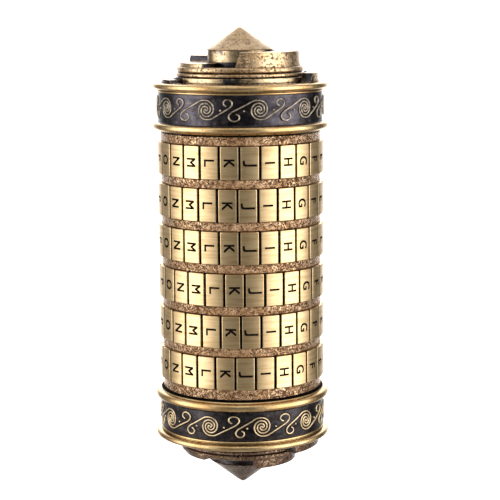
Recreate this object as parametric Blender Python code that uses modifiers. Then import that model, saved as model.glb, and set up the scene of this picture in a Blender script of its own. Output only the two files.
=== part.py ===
"""Six-dial brass cryptex: a lettered combination lock around a sliding scroll vault.

The long axis is Z and the origin is the middle of the whole length. The sleeve half
(lower cap, slotted sleeve, dials) stays put, and the vault half (upper cap, vault tube
and its row of locking pins) draws out along +Z once every dial shows its own letter.
Azimuths are in degrees to the right of the front (-Y) side.
"""

import math

import bmesh
import bpy
from mathutils import Matrix, Vector

MM = 0.001

# Overall size
HALF_LENGTH = 66.0 * MM
FLANGE_RADIUS = 25.0 * MM
GAP = 0.3 * MM                      # clearance between neighbouring pieces
ROUND_STEPS = 36                    # sides of a plain turned piece

# Dials, counted from the upper cap down
DIAL_COUNT = 6
LETTERS = 26                        # one panel of the round rim for each letter
PANEL = 360.0 / LETTERS
DIAL_STACK_TOP = 36.78 * MM
DIAL_PITCH = 11.72 * MM
DIAL_HEIGHT = DIAL_PITCH - GAP
SHOULDER_HEIGHT = 2.42 * MM
SHOULDER_RADIUS = 22.7 * MM
LETTER_RING_RADIUS = 23.5 * MM
LETTER_RING_BEVEL = 0.2 * MM
CODE_BARREL_RADIUS = 21.0 * MM
# How far each dial has been turned from square, as a hand leaves them
DIAL_TURNS = (-1.2, -2.7, -1.3, 2.0, -0.6, -4.6)

# Sleeve, vault tube and the pins that lock them
SLEEVE_RADIUS = 17.0 * MM
SLEEVE_BORE = 14.4 * MM
SLEEVE_TOP = 41.5 * MM
TUBE_RADIUS = 14.0 * MM
TUBE_BORE = 11.6 * MM
TUBE_MOUTH = -40.3 * MM
DIAL_BORE = 17.6 * MM
PIN_RADIUS = 1.1 * MM
PIN_ROOT = 12.7 * MM
PIN_TIP = 18.8 * MM
PIN_DROP = 5.7 * MM                 # pin centre below its dial's top face
INDEX_AZIMUTH = 5.5                 # the pins' row, under the middle of one panel
PIN_GROOVE_RADIUS = 19.3 * MM
PIN_GROOVE_HALF = 2.0 * MM
SLOT_WIDTH = 3.0 * MM
NOTCH_WIDTH = 5.0 * MM              # wide enough for a dial a few degrees off square
COLLAR_BOTTOM = -36.43 * MM
RETAINER_RADIUS = 20.2 * MM
GRUB_RADIUS = 0.9 * MM

# End caps, as heights above the middle; the lower cap uses the same values downwards
UPPER_FACE = DIAL_STACK_TOP + GAP
LOWER_FACE = -COLLAR_BOTTOM + GAP
LIP_RADIUS = 23.3 * MM
LIP_HEIGHT = 2.9 * MM
LIP_WIDEST = 1.3 * MM
CUP_RADIUS = 22.2 * MM
CUP_FLOOR = 45.5 * MM
CUP_END = 50.4 * MM
BAND_RADIUS = 23.55 * MM
BAND_END = 47.8 * MM
RIM_START = 48.1 * MM
RIM_END = 50.8 * MM
RIM_FLAT_RADIUS = 23.7 * MM
RIM_WIDEST = 49.67 * MM
BEAD_RADIUS = 23.5 * MM
BEAD_END = 48.75 * MM
TIER_START = CUP_END + GAP
TIER_STEP = 53.4 * MM
TIER_END = 54.6 * MM
TIER_RADIUS = 18.85 * MM
TIER_TOP_RADIUS = 18.2 * MM
STUD_RADIUS = 3.0 * MM
STUD_BORE = STUD_RADIUS + GAP
STUD_END = 41.8 * MM
PLUG_START = 40.9 * MM
PLUG_END = 44.9 * MM
FINIAL_START = TIER_END + GAP
FINIAL_RADIUS = 9.6 * MM
UPPER_CONE_BASE = 59.9 * MM
LOWER_CONE_BASE = 58.95 * MM
CONE_TIP_RADIUS = 0.75 * MM

# Stair rings: radii, then the top of the recess floor and of each step up
OUTER_STAIR = (19.2 * MM, CUP_RADIUS)
OUTER_LEVELS = (51.05 * MM, 51.76 * MM, 53.39 * MM)
UPPER_INNER_STAIR = (10.0 * MM, 16.9 * MM)
UPPER_INNER_LEVELS = (55.2 * MM, 56.29 * MM, 57.84 * MM, 59.38 * MM)
LOWER_INNER_STAIR = (10.0 * MM, 16.2 * MM)
LOWER_INNER_LEVELS = (55.2 * MM, 56.2 * MM, 57.2 * MM, 58.2 * MM)
# Azimuths where each level begins, going round from the recess; the last closes the ring
UPPER_OUTER_TURNS = (64.0, -60.0, -178.0)
UPPER_INNER_TURNS = (-2.0, -37.0, -122.0, -242.0)
LOWER_OUTER_TURNS = (40.0, -84.0, -202.0)
LOWER_INNER_TURNS = (11.7, -40.0, -120.0, -235.0)


# --- helpers -------------------------------------------------------------------------

def clear_scene():
    for item in list(bpy.data.objects):
        bpy.data.objects.remove(item, do_unlink=True)


def new_collection(name):
    group = bpy.data.collections.new(name)
    bpy.context.scene.collection.children.link(group)
    return group


def metal(name, colour, roughness):
    surface = bpy.data.materials.new(name)
    surface.use_nodes = True
    shader = surface.node_tree.nodes["Principled BSDF"]
    shader.inputs["Base Color"].default_value = (*colour, 1.0)
    shader.inputs["Roughness"].default_value = roughness
    shader.inputs["Metallic"].default_value = 1.0
    return surface


def azimuth_turn(azimuth):
    """Rotation about Z that carries +X to an azimuth measured from the front."""
    return math.radians(azimuth - 90.0)


def arc(centre, radii, start, end, points):
    """Points of an elliptical arc in the (radius, height) plane, angles in degrees."""
    turns = [math.radians(start + (end - start) * i / (points - 1)) for i in range(points)]
    return [(centre[0] + radii[0] * math.cos(t), centre[1] + radii[1] * math.sin(t))
            for t in turns]


def flipped(profile):
    """The same outline for the lower end, still running down its outer side."""
    return [(radius, -height) for radius, height in reversed(profile)]


def add_object(name, mesh, surface, group, parent=None):
    piece = bpy.data.objects.new(name, mesh)
    group.objects.link(piece)
    piece.parent = parent
    if surface is not None:
        mesh.materials.append(surface)
    return piece


def turned(name, profile, surface, group, parent=None, steps=ROUND_STEPS):
    """A lathe-turned piece: the outline (radius, height) is swept round Z."""
    closed = min(radius for radius, _ in profile) > 0.0
    count = len(profile)
    edges = [(i, (i + 1) % count) for i in range(count if closed else count - 1)]
    mesh = bpy.data.meshes.new(name)
    mesh.from_pydata([(radius, 0.0, height) for radius, height in profile], edges, [])
    piece = add_object(name, mesh, surface, group, parent)
    screw = piece.modifiers.new("turn", "SCREW")
    screw.axis = "Z"
    screw.angle = 2.0 * math.pi
    screw.steps = steps
    screw.render_steps = steps
    screw.use_merge_vertices = not closed
    screw.merge_threshold = 0.00001
    screw.use_smooth_shade = True
    return piece


def cylinder_mesh(name, radius, start, end, sides=16):
    """A round bar along local X, from start to end."""
    mesh = bpy.data.meshes.new(name)
    shape = bmesh.new()
    lie_down = Matrix.Rotation(math.radians(90.0), 4, "Y")
    place = Matrix.Translation(((start + end) / 2.0, 0.0, 0.0)) @ lie_down
    bmesh.ops.create_cone(shape, cap_ends=True, segments=sides, radius1=radius,
                          radius2=radius, depth=end - start, matrix=place)
    shape.to_mesh(mesh)
    shape.free()
    mesh.shade_smooth()
    mesh.set_sharp_from_angle(angle=math.radians(40.0))
    return mesh


def box_mesh(name, low, high):
    mesh = bpy.data.meshes.new(name)
    shape = bmesh.new()
    size = Vector(high) - Vector(low)
    middle = (Vector(high) + Vector(low)) / 2.0
    place = Matrix.Translation(middle) @ Matrix.Diagonal((*size, 1.0))
    bmesh.ops.create_cube(shape, size=1.0, matrix=place)
    shape.to_mesh(mesh)
    shape.free()
    return mesh


def sector_mesh(name, radii, heights, start, sweep):
    """A block of a ring between two azimuths, sweeping clockwise seen from above."""
    mesh = bpy.data.meshes.new(name)
    shape = bmesh.new()
    corners = [(radii[0], heights[0]), (radii[1], heights[0]),
               (radii[1], heights[1]), (radii[0], heights[1])]
    first = Matrix.Rotation(azimuth_turn(start), 3, "Z")
    points = [shape.verts.new(first @ Vector((r, 0.0, z))) for r, z in corners]
    section = shape.faces.new(points)
    steps = max(2, round(sweep / 10.0))
    bmesh.ops.spin(shape, geom=[section, *section.edges, *points], cent=(0, 0, 0),
                   axis=(0, 0, -1), angle=math.radians(sweep), steps=steps)
    bmesh.ops.recalc_face_normals(shape, faces=shape.faces)
    shape.to_mesh(mesh)
    shape.free()
    return mesh


def cut(piece, mesh, cutters, place=None):
    """Takes the cutter mesh away from the piece with an exact Boolean."""
    tool = add_object(mesh.name, mesh, None, cutters, piece.parent)
    tool.matrix_local = place or Matrix.Identity(4)
    tool.hide_render = True
    tool.display_type = "WIRE"
    boolean = piece.modifiers.new(mesh.name, "BOOLEAN")
    boolean.operation = "DIFFERENCE"
    boolean.solver = "EXACT"
    boolean.object = tool


def axis_empty(name, group, height=0.0):
    empty = bpy.data.objects.new(name, None)
    group.objects.link(empty)
    empty.location.z = height
    return empty


# --- dials ---------------------------------------------------------------------------

def letter_ring(number, surface, group, parent):
    """The outer ring of a dial, which carries the letters."""
    top = -SHOULDER_HEIGHT - GAP
    bottom = -DIAL_HEIGHT
    bore = CODE_BARREL_RADIUS + GAP
    edge = LETTER_RING_RADIUS - LETTER_RING_BEVEL
    profile = [(bore, top), (edge, top),
               (LETTER_RING_RADIUS, top - LETTER_RING_BEVEL),
               (LETTER_RING_RADIUS, bottom + LETTER_RING_BEVEL),
               (edge, bottom), (bore, bottom)]
    return turned(f"letter_ring_{number}", profile, surface, group, parent,
                  steps=2 * LETTERS)


def code_ring(number, surface, group, cutters, parent):
    """The inner ring of a dial: shoulder, barrel, pin groove and the code notch."""
    groove_top = -PIN_DROP + PIN_GROOVE_HALF
    groove_bottom = -PIN_DROP - PIN_GROOVE_HALF
    profile = [(DIAL_BORE, 0.0), (SHOULDER_RADIUS, 0.0),
               (SHOULDER_RADIUS, -SHOULDER_HEIGHT), (CODE_BARREL_RADIUS, -SHOULDER_HEIGHT),
               (CODE_BARREL_RADIUS, -DIAL_HEIGHT), (DIAL_BORE, -DIAL_HEIGHT),
               (DIAL_BORE, groove_bottom), (PIN_GROOVE_RADIUS, groove_bottom),
               (PIN_GROOVE_RADIUS, groove_top), (DIAL_BORE, groove_top)]
    ring = turned(f"code_ring_{number}", profile, surface, group, parent, steps=LETTERS)
    low = (SLEEVE_BORE, -NOTCH_WIDTH / 2.0, -DIAL_PITCH)
    high = (PIN_GROOVE_RADIUS - 0.1 * MM, NOTCH_WIDTH / 2.0, GAP)
    notch = box_mesh(f"code_notch_{number}", low, high)
    cut(ring, notch, cutters, Matrix.Rotation(math.radians(PANEL / 2.0), 4, "Z"))
    return ring


def dials(surfaces, group, cutters):
    for index, turn in enumerate(DIAL_TURNS):
        number = index + 1
        hub = axis_empty(f"dial_{number}_axis", group, DIAL_STACK_TOP - index * DIAL_PITCH)
        hub.rotation_euler.z = azimuth_turn(turn)
        letter_ring(number, surfaces["satin_brass"], group, hub)
        code_ring(number, surfaces["mottled_copper"], group, cutters, hub)


# --- sleeve side ---------------------------------------------------------------------

def pin_height(index):
    return DIAL_STACK_TOP - index * DIAL_PITCH - PIN_DROP


def slotted_sleeve(surface, group, cutters, parent):
    """The tube that the dials turn on, with a slot that the pins run along."""
    bottom = -(CUP_FLOOR - GAP)
    profile = [(SLEEVE_BORE, SLEEVE_TOP), (SLEEVE_RADIUS, SLEEVE_TOP),
               (SLEEVE_RADIUS, bottom), (SLEEVE_BORE, bottom)]
    sleeve = turned("outer_sleeve", profile, surface, group, parent)
    slot_bottom = pin_height(DIAL_COUNT - 1) - PIN_GROOVE_HALF
    low = (SLEEVE_BORE - 2.0 * MM, -SLOT_WIDTH / 2.0, slot_bottom)
    high = (SLEEVE_RADIUS + 1.0 * MM, SLOT_WIDTH / 2.0, SLEEVE_TOP + 1.0 * MM)
    cut(sleeve, box_mesh("pin_slot", low, high), cutters,
        Matrix.Rotation(azimuth_turn(INDEX_AZIMUTH), 4, "Z"))
    return sleeve


def seat_collar(surface, group, parent):
    """The fixed ring that the lowest dial rests on."""
    top = DIAL_STACK_TOP - DIAL_COUNT * DIAL_PITCH
    bore = SLEEVE_RADIUS + 0.4 * MM
    profile = [(bore, top), (SHOULDER_RADIUS, top),
               (SHOULDER_RADIUS, COLLAR_BOTTOM), (bore, COLLAR_BOTTOM)]
    return turned("seat_collar", profile, surface, group, parent)


def retaining_ring(surfaces, group, cutters, parent, sleeve):
    """Keeps the dials on the sleeve; three grub screws hold it, and the pins pass it."""
    bore = SLEEVE_RADIUS + 0.4 * MM
    profile = [(bore, SLEEVE_TOP), (RETAINER_RADIUS, SLEEVE_TOP),
               (RETAINER_RADIUS, UPPER_FACE), (bore, UPPER_FACE)]
    ring = turned("retaining_ring", profile, surfaces["plain_brass"], group, parent)
    low = (SLEEVE_BORE, -NOTCH_WIDTH / 2.0, UPPER_FACE - 1.0 * MM)
    high = (PIN_GROOVE_RADIUS, NOTCH_WIDTH / 2.0, SLEEVE_TOP + 1.0 * MM)
    cut(ring, box_mesh("retaining_ring_notch", low, high), cutters,
        Matrix.Rotation(azimuth_turn(INDEX_AZIMUTH), 4, "Z"))
    height = (UPPER_FACE + SLEEVE_TOP) / 2.0
    for number in (1, 2, 3):
        place = (Matrix.Translation((0.0, 0.0, height))
                 @ Matrix.Rotation(azimuth_turn(INDEX_AZIMUTH + 90.0 * number), 4, "Z"))
        for target in (ring, sleeve):
            hole = cylinder_mesh(f"grub_hole_{number}_{target.name}", GRUB_RADIUS + GAP,
                                 SLEEVE_BORE + 0.9 * MM, RETAINER_RADIUS + 1.0 * MM, sides=12)
            cut(target, hole, cutters, place)
        screw = cylinder_mesh(f"grub_screw_{number}", GRUB_RADIUS,
                              SLEEVE_BORE + 1.2 * MM, RETAINER_RADIUS - 0.2 * MM, sides=12)
        piece = add_object(f"grub_screw_{number}", screw, surfaces["steel"], group, parent)
        piece.matrix_local = place
    return ring


# --- vault side ----------------------------------------------------------------------

def vault_tube(surface, group, cutters, parent):
    """The inner tube that holds the message, open at its lower end."""
    top = CUP_FLOOR - GAP
    profile = [(TUBE_BORE, top), (TUBE_RADIUS, top),
               (TUBE_RADIUS, TUBE_MOUTH), (TUBE_BORE, TUBE_MOUTH)]
    tube = turned("vault_tube", profile, surface, group, parent)
    for index in range(DIAL_COUNT):
        socket = cylinder_mesh(f"pin_socket_{index + 1}", PIN_RADIUS + GAP,
                               PIN_ROOT - GAP, SLEEVE_RADIUS)
        cut(tube, socket, cutters, pin_place(index))
    return tube


def pin_place(index):
    return (Matrix.Translation((0.0, 0.0, pin_height(index)))
            @ Matrix.Rotation(azimuth_turn(INDEX_AZIMUTH), 4, "Z"))


def locking_pins(surface, group, parent):
    for index in range(DIAL_COUNT):
        name = f"locking_pin_{index + 1}"
        pin = add_object(name, cylinder_mesh(name, PIN_RADIUS, PIN_ROOT, PIN_TIP),
                         surface, group, parent)
        pin.matrix_local = pin_place(index)


# --- end caps, drawn for the upper end ------------------------------------------------

def cap_profiles(face, cup_bore, plug_radius, cone_base):
    """Outlines of a cap's turned pieces, for a cap whose dial side is at height face."""
    lip = arc((LIP_RADIUS, face + LIP_WIDEST), (FLANGE_RADIUS - LIP_RADIUS, LIP_WIDEST),
              70.0, -90.0, 8)
    lip_top = [(CUP_RADIUS, CUP_END), (CUP_RADIUS, face + LIP_HEIGHT),
               (LIP_RADIUS, face + LIP_HEIGHT)]
    cup = lip_top + lip + [(cup_bore, face), (cup_bore, CUP_FLOOR),
                           (STUD_BORE, CUP_FLOOR), (STUD_BORE, CUP_END)]
    sleeve_bore = CUP_RADIUS + GAP
    band_start = face + LIP_HEIGHT + GAP
    band = [(sleeve_bore, BAND_END), (BAND_RADIUS, BAND_END),
            (BAND_RADIUS, band_start), (sleeve_bore, band_start)]
    rim_edge = arc((RIM_FLAT_RADIUS, RIM_WIDEST),
                   (FLANGE_RADIUS - RIM_FLAT_RADIUS, RIM_END - RIM_WIDEST), 90.0, 0.0, 4)
    rim = ([(sleeve_bore, RIM_END)] + rim_edge
           + [(FLANGE_RADIUS - 0.7 * MM, BEAD_END + 0.2 * MM), (BEAD_RADIUS, BEAD_END),
              (BEAD_RADIUS, RIM_START), (sleeve_bore, RIM_START)])
    tier = [(STUD_BORE, TIER_END), (TIER_TOP_RADIUS, TIER_END), (TIER_TOP_RADIUS, TIER_STEP),
            (TIER_RADIUS, TIER_STEP), (TIER_RADIUS, TIER_START), (STUD_BORE, TIER_START)]
    finial = [(0.0, HALF_LENGTH), (CONE_TIP_RADIUS, HALF_LENGTH - 0.15 * MM),
              (FINIAL_RADIUS, cone_base), (FINIAL_RADIUS, FINIAL_START),
              (STUD_RADIUS, FINIAL_START), (STUD_RADIUS, STUD_END), (0.0, STUD_END)]
    plug = [(STUD_BORE, PLUG_END), (plug_radius, PLUG_END),
            (plug_radius, PLUG_START), (STUD_BORE, PLUG_START)]
    return {"cap_cup": cup, "scroll_band": band, "rim_ring": rim, "tier_disc": tier,
            "finial": finial, "end_plug": plug}


def stair_ring(name, radii, start, levels, turns, side, surfaces, group, cutters, parent):
    """A ring that climbs in steps from an open recess, like a spiral stair."""
    top = levels[-1]
    profile = [(radii[0], top), (radii[1], top), (radii[1], start), (radii[0], start)]
    if side < 0:
        profile = flipped(profile)
    ring = turned(name, profile, surfaces["antique_brass"], group, parent)
    wide = (radii[0] - 1.0 * MM, radii[1] + 1.0 * MM)
    for step in range(len(levels) - 1):
        sweep = turns[0] - turns[step + 1]
        nudge = 0.4 * step          # keeps the cutters' end faces apart
        heights = sorted((side * levels[step], side * (top + 1.0 * MM)))
        block = sector_mesh(f"{name}_cut_{step}", wide, heights, turns[0] - nudge,
                            sweep - nudge)
        cut(ring, block, cutters)
    return ring


def end_cap(prefix, side, profiles, outer_stair, inner_stair, surfaces, group, cutters,
            parent):
    """All the pieces of one cap; side is 1 for the upper end and -1 for the lower."""
    finish = {"cap_cup": "polished_brass", "scroll_band": "blackened_brass",
              "rim_ring": "polished_brass", "tier_disc": "antique_brass",
              "finial": "antique_brass", "end_plug": "plain_brass"}
    for piece, profile in profiles.items():
        outline = profile if side > 0 else flipped(profile)
        turned(f"{prefix}_{piece}", outline, surfaces[finish[piece]], group, parent)
    for piece, start, stair in (("outer_stair", TIER_START, outer_stair),
                                ("inner_stair", FINIAL_START, inner_stair)):
        radii, levels, turns = stair
        stair_ring(f"{prefix}_{piece}", radii, start, levels, turns, side, surfaces, group,
                   cutters, parent)


# --- the whole object -----------------------------------------------------------------

def make_surfaces():
    return {"satin_brass": metal("satin_brass", (0.72, 0.60, 0.30), 0.35),
            "polished_brass": metal("polished_brass", (0.62, 0.43, 0.16), 0.25),
            "antique_brass": metal("antique_brass", (0.45, 0.31, 0.13), 0.45),
            "plain_brass": metal("plain_brass", (0.70, 0.52, 0.24), 0.30),
            "mottled_copper": metal("mottled_copper", (0.38, 0.20, 0.10), 0.50),
            "blackened_brass": metal("blackened_brass", (0.05, 0.05, 0.06), 0.40),
            "steel": metal("steel", (0.45, 0.45, 0.46), 0.30)}


def main():
    clear_scene()
    group = new_collection("cryptex")
    cutters = new_collection("cutters")
    surfaces = make_surfaces()

    sleeve_side = axis_empty("sleeve_side_axis", group)
    sleeve = slotted_sleeve(surfaces["plain_brass"], group, cutters, sleeve_side)
    seat_collar(surfaces["mottled_copper"], group, sleeve_side)
    retaining_ring(surfaces, group, cutters, sleeve_side, sleeve)
    lower_profiles = cap_profiles(LOWER_FACE, SLEEVE_RADIUS + 0.4 * MM,
                                  SLEEVE_BORE - 0.4 * MM, LOWER_CONE_BASE)
    end_cap("lower", -1, lower_profiles, (OUTER_STAIR, OUTER_LEVELS, LOWER_OUTER_TURNS),
            (LOWER_INNER_STAIR, LOWER_INNER_LEVELS, LOWER_INNER_TURNS),
            surfaces, group, cutters, sleeve_side)

    dials(surfaces, group, cutters)

    vault_side = axis_empty("vault_side_axis", group)
    vault_tube(surfaces["plain_brass"], group, cutters, vault_side)
    locking_pins(surfaces["steel"], group, vault_side)
    upper_profiles = cap_profiles(UPPER_FACE, RETAINER_RADIUS + 0.4 * MM,
                                  TUBE_BORE - 0.4 * MM, UPPER_CONE_BASE)
    end_cap("upper", 1, upper_profiles, (OUTER_STAIR, OUTER_LEVELS, UPPER_OUTER_TURNS),
            (UPPER_INNER_STAIR, UPPER_INNER_LEVELS, UPPER_INNER_TURNS),
            surfaces, group, cutters, vault_side)


main()
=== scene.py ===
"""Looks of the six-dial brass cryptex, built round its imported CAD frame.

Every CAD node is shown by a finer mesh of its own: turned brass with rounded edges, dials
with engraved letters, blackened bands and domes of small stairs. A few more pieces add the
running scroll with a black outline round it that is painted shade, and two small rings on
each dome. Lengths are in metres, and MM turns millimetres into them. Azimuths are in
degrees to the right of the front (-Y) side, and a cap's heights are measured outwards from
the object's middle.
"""

import math

import bmesh
import bpy
import numpy as np
from mathutils import Matrix, Vector, noise


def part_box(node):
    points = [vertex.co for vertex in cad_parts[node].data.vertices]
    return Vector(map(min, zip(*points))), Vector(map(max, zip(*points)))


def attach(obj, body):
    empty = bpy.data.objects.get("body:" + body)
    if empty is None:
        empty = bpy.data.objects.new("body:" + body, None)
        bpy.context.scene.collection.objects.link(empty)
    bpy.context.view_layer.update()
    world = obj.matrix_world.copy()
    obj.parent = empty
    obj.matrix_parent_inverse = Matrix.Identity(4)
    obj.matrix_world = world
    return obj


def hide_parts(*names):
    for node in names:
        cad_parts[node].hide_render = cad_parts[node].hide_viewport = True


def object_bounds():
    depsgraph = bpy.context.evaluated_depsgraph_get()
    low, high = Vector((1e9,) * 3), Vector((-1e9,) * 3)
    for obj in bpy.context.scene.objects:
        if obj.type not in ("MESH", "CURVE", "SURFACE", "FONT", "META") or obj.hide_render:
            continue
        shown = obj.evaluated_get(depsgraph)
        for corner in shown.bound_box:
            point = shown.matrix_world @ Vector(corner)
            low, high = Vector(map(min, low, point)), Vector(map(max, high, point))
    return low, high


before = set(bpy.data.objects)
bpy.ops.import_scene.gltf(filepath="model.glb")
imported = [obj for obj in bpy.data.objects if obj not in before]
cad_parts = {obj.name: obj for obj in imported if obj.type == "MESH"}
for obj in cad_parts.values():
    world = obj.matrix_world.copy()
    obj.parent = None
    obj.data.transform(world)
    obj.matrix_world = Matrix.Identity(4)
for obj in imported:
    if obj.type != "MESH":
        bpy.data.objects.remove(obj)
CAD_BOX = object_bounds()

MM = 0.001
FINE = 192  # sides of a turned piece that is seen
PLAIN = 96  # sides of one that the closed cryptex hides
OUTWARD = {"upper": 1.0, "lower": -1.0}  # the way each cap points along Z
BOXY = 0.8  # squareness of beads and flanges

# Dials, the top one first
DIAL_TURNS = (-0.5, -2.0, -0.9, 2.4, -0.3, -4.3)  # azimuth of the front letter's left edge
ALPHABET = "ABCDEFGHIJKLMNOPQRSTUVWXYZ"
FRONT_LETTER = "J"
PANEL = 360.0 / len(ALPHABET)
RIM_RADIUS = 23.5 * MM
SHOULDER_RADIUS = 22.7 * MM
SHOULDER_HEIGHT = 2.42 * MM
RIM_GAPS = (0.14 * MM, 0.12 * MM)  # above and below a letter ring, to the shoulders
RING_BORE = 21.0 * MM
CODE_BORE = 17.6 * MM
PIN_GROOVE = (19.3 * MM, -3.7 * MM, -7.7 * MM)  # radius, top and foot from the dial's top
NOTCH_RADIUS = 19.2 * MM  # how far out the notch that lets a pin through goes
NOTCH_HALF = 2.5 * MM  # half its width
GROOVE_FLOOR = 22.75 * MM  # radius at the bottom of the groove between panels
GROOVE_HALF = 0.31 * MM  # half the groove's width
PANEL_EDGE = 0.2 * MM  # rounding of a panel's edges
CAP_HEIGHT = 2.8 * MM  # of a capital letter
FONT_CAP = 0.682  # the built-in font's capitals at size 1
LETTER_WIDTH = 0.88  # letters are slightly condensed
LETTER_WEIGHT = 0.095 * MM  # how far strokes are thickened on each side
FONT_STEM = 0.09  # a little more than the font's stroke at size 1
TAILS = {"J": 2.3, "L": 1.3}  # how much the part beside the stem is drawn out
ENGRAVING = 0.32 * MM
LETTER_DEPTH = 1.6 * MM  # thickness of the solids that cut the letters
FLOOR_STEP = 0.004 * MM  # between the floors of one letter's copies

# Scroll relief on the bands
MOTIFS = 10
SCROLL_PHASE = {"upper": 13.0, "lower": 13.6}  # azimuth of the spiral right of the front
SCROLL_SHIFT = {"upper": 0.35 * MM, "lower": 0.2 * MM}  # outwards from the band's middle
SPIRAL_RADIUS = 2.62 * MM
SPIRAL_TURNS = 1.5
DIAGONAL_FOOT = (1.5 * MM, -2.5 * MM)  # where the spiral's line turns upwards
OUTWARD_CURL = ((6.05 * MM, 1.8 * MM), (1.4 * MM, 1.2 * MM))  # centre, radii
INWARD_CURL = ((6.75 * MM, 1.95 * MM), (1.75 * MM, 1.3 * MM))
CURL_START = -30.0
CURL_SWEEP = 285.0
CURL_SHRINK = 0.36  # how much smaller a curl's radii are at its end
UP_DOT = (4.1 * MM, -0.1 * MM)
DOWN_DOT = (4.2 * MM, 0.3 * MM)
DOT_RADIUS = 0.3 * MM
RELIEF_RADIUS = 0.215 * MM
SHADE_OUTLINE_RADIUS = 0.62 * MM  # the black outline painted as shade round the scroll, mostly sunk in the band
SHADE_OUTLINE_HEIGHT = 0.11 * MM

# Caps: radii, and heights from the cup's face where they say so
CUP_BORE = {"upper": 20.6 * MM, "lower": 17.4 * MM}
CUP_FLOOR = 45.5 * MM
CUP_WALL = (22.2 * MM, 3.1 * MM)  # radius, and start from the face
LIP_START = 0.5 * MM  # of the flange beside the dials, from the face
LIP_END = {"upper": 2.62 * MM, "lower": 2.8 * MM}
LIP_REACH = 1.6 * MM  # radius of the flange's round edge
NECK_RADIUS = {"upper": 22.9 * MM, "lower": 22.2 * MM}
NECK_HEIGHT = 0.25 * MM  # the gap between a cap and the dials, painted black as shade
BAND_BORE = 22.4 * MM
BAND_COVE = (0.5 * MM, 0.55 * MM)  # radii of the hollow curve beside the cup's flange
RIM_BORE = 22.45 * MM
RIM_CENTRE = (23.6 * MM, 49.82 * MM)  # radius and height
RIM_BEAD = (23.3 * MM, 48.45 * MM)
TIER_DRUM = 17.6 * MM
TIER_TOP = 17.35 * MM
UPPER_BEAD = (17.45 * MM, 54.45 * MM)
LOWER_BEAD = (17.75 * MM, 53.0 * MM)
FOOT_HEIGHT = 52.3 * MM
CONE_BASE = {"upper": 59.9 * MM, "lower": 58.95 * MM}
CONE_TIP = (1.25 * MM, 0.56 * MM)  # radius and drop where the rounded tip becomes the cone
CONE_EDGE = 0.26 * MM  # the cone's rounded edge ends this far below its base
STEM_START = 56.45 * MM
STUD_RADIUS = 3.0 * MM
STUD_START = 41.8 * MM
STUD_HOLE = 3.3 * MM

# Stairs: bore and each level's radius, each level's height, and the azimuths where the
# levels begin, from the recess on; the first azimuth also closes the ring
OUTER_STAIR = (19.0 * MM, (22.3 * MM, 22.3 * MM, 22.3 * MM))
OUTER_START = 50.65 * MM
OUTER_LEVELS = (50.9 * MM, 51.76 * MM, 53.39 * MM)
INNER_STAIR = {"upper": (10.2 * MM, (17.0 * MM, 17.25 * MM, 17.25 * MM, 17.25 * MM)),
               "lower": (10.2 * MM, (16.0 * MM, 17.0 * MM, 16.4 * MM, 15.8 * MM))}
INNER_START = 54.62 * MM
INNER_LEVELS = {"upper": (55.15 * MM, 56.29 * MM, 57.84 * MM, 59.38 * MM),
                "lower": (55.15 * MM, 56.2 * MM, 57.2 * MM, 58.2 * MM)}
STAIR_DRAFT = 0.095  # how far the inner stair's wall leans in, per height
STAIR_LEAN = (2.2, 0.7)  # half the slope, in degrees, of the recess's end and a step
STAIR_TURNS = {"upper": {"outer": (64.0, -60.0, -178.0), "inner": (-2.0, -37.0, -122.0, -242.0)},
               "lower": {"outer": (40.0, -84.0, -202.0), "inner": (11.7, -40.0, -120.0, -235.0)}}

# Sleeve side and vault
SLEEVE_BORE = 14.4 * MM
SLOT_HALF = 1.5 * MM  # half the width of the sleeve's slot
SLOT_ROOM = 0.9 * MM  # from the last pin to the slot's end
SLOT_CUT = (12.0 * MM, 18.0 * MM)  # radii that the slot's cutter spans
RING_CUT = (14.0 * MM, 19.3 * MM)  # the same for the retaining ring's notch
COLLAR_BORE = 17.4 * MM  # of the retaining ring and the seat collar
SCREW_HOLE = (1.2 * MM, 15.3 * MM, 21.2 * MM)  # radius, inner and outer end
SCREW = (0.9 * MM, 15.6 * MM, 20.0 * MM)
VAULT_BORE = 11.6 * MM
PIN_REACH = (13.0 * MM, 18.8 * MM)  # inner and outer end of a locking pin
CUT_MARGIN = 1.0 * MM  # how far cutters stand past what they cut

# Camera and stage
LENS = 123.4  # on a 36 mm sensor
CAMERA_DISTANCE = 0.487
CAMERA_HEIGHT = 0.07665
CAMERA_SIDE = 0.0025
CAMERA_PITCH = 8.67
CAMERA_ROLL = -0.39
FLOOR_DROP = 0.06  # the floor lies this far below the object


# --- mesh helpers ---------------------------------------------------------------------

def finish_mesh(mesh, smooth_angle=32.0):
    mesh.shade_smooth()
    mesh.set_sharp_from_angle(angle=math.radians(smooth_angle))


def new_object(name, data):
    item = bpy.data.objects.new(name, data)
    bpy.context.scene.collection.objects.link(item)
    return item


def mesh_of(shape, name):
    """Turns the working shape into a mesh, and frees it."""
    mesh = bpy.data.meshes.new(name)
    shape.to_mesh(mesh)
    shape.free()
    return mesh


def evaluated_mesh(item):
    """The object's mesh with its modifiers, or its text or curve as a mesh."""
    graph = bpy.context.evaluated_depsgraph_get()
    return bpy.data.meshes.new_from_object(item.evaluated_get(graph), depsgraph=graph)


def add_piece(name, mesh, material, body, node=None, place=None):
    """Links a finished mesh, puts it in place, parents it to its body and hides the CAD node it
    stands for.
    """
    piece = new_object(name, mesh)
    if material is not None and not mesh.materials:
        mesh.materials.append(material)
    if place is not None:
        piece.matrix_world = place
    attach(piece, body)
    if node:
        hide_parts(node)
    return piece


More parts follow.
